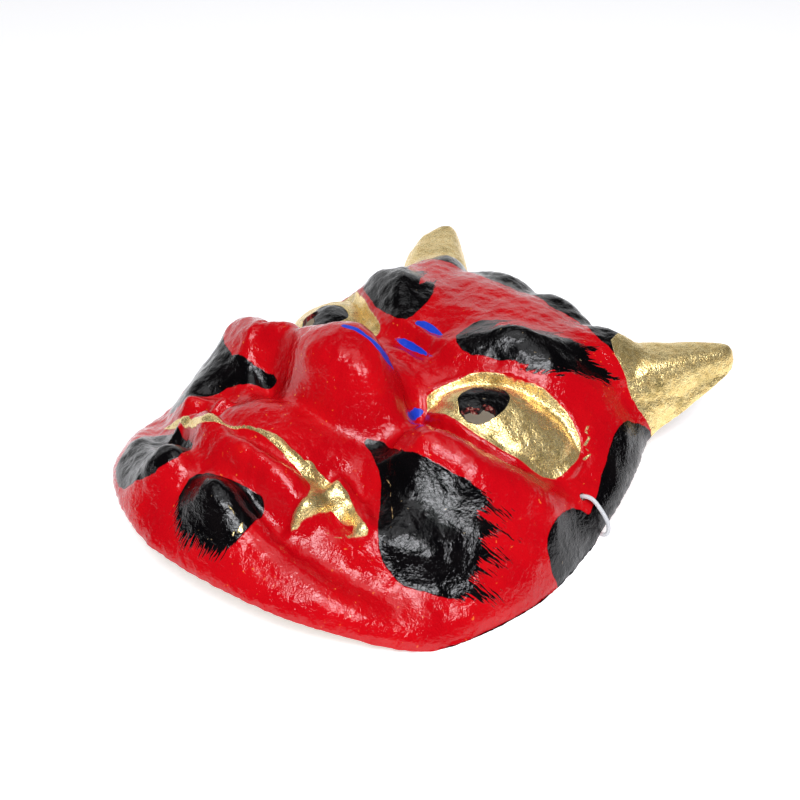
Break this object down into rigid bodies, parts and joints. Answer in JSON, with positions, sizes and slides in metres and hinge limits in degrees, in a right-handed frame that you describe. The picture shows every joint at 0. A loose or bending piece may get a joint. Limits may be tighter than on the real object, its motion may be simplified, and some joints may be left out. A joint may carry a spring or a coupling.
{
  "type": "oni mask",
  "caption": "Painted papier-mâché demon face mask with two short horns, open at the back, eye openings, and an elastic head cord through its temples.",
  "frame": {"origin": "middle of the mask's plan, on the surface that it lies on, measured without the cord", "axes": "+Z out of the face, +Y towards the forehead and horns, +X to the side of the mask that is nearer in the picture"},
  "size_m": [0.1984, 0.2304, 0.0675],
  "materials": {
    "mask_shell": "glossy red lacquer over papier-mâché with black, gold and blue painted areas",
    "elastic_cord": "white braided elastic"
  },
  "bodies": {
    "root": {"mask_shell": "mask_shell", "elastic_cord": "elastic_cord"}
  },
  "joints": []
}
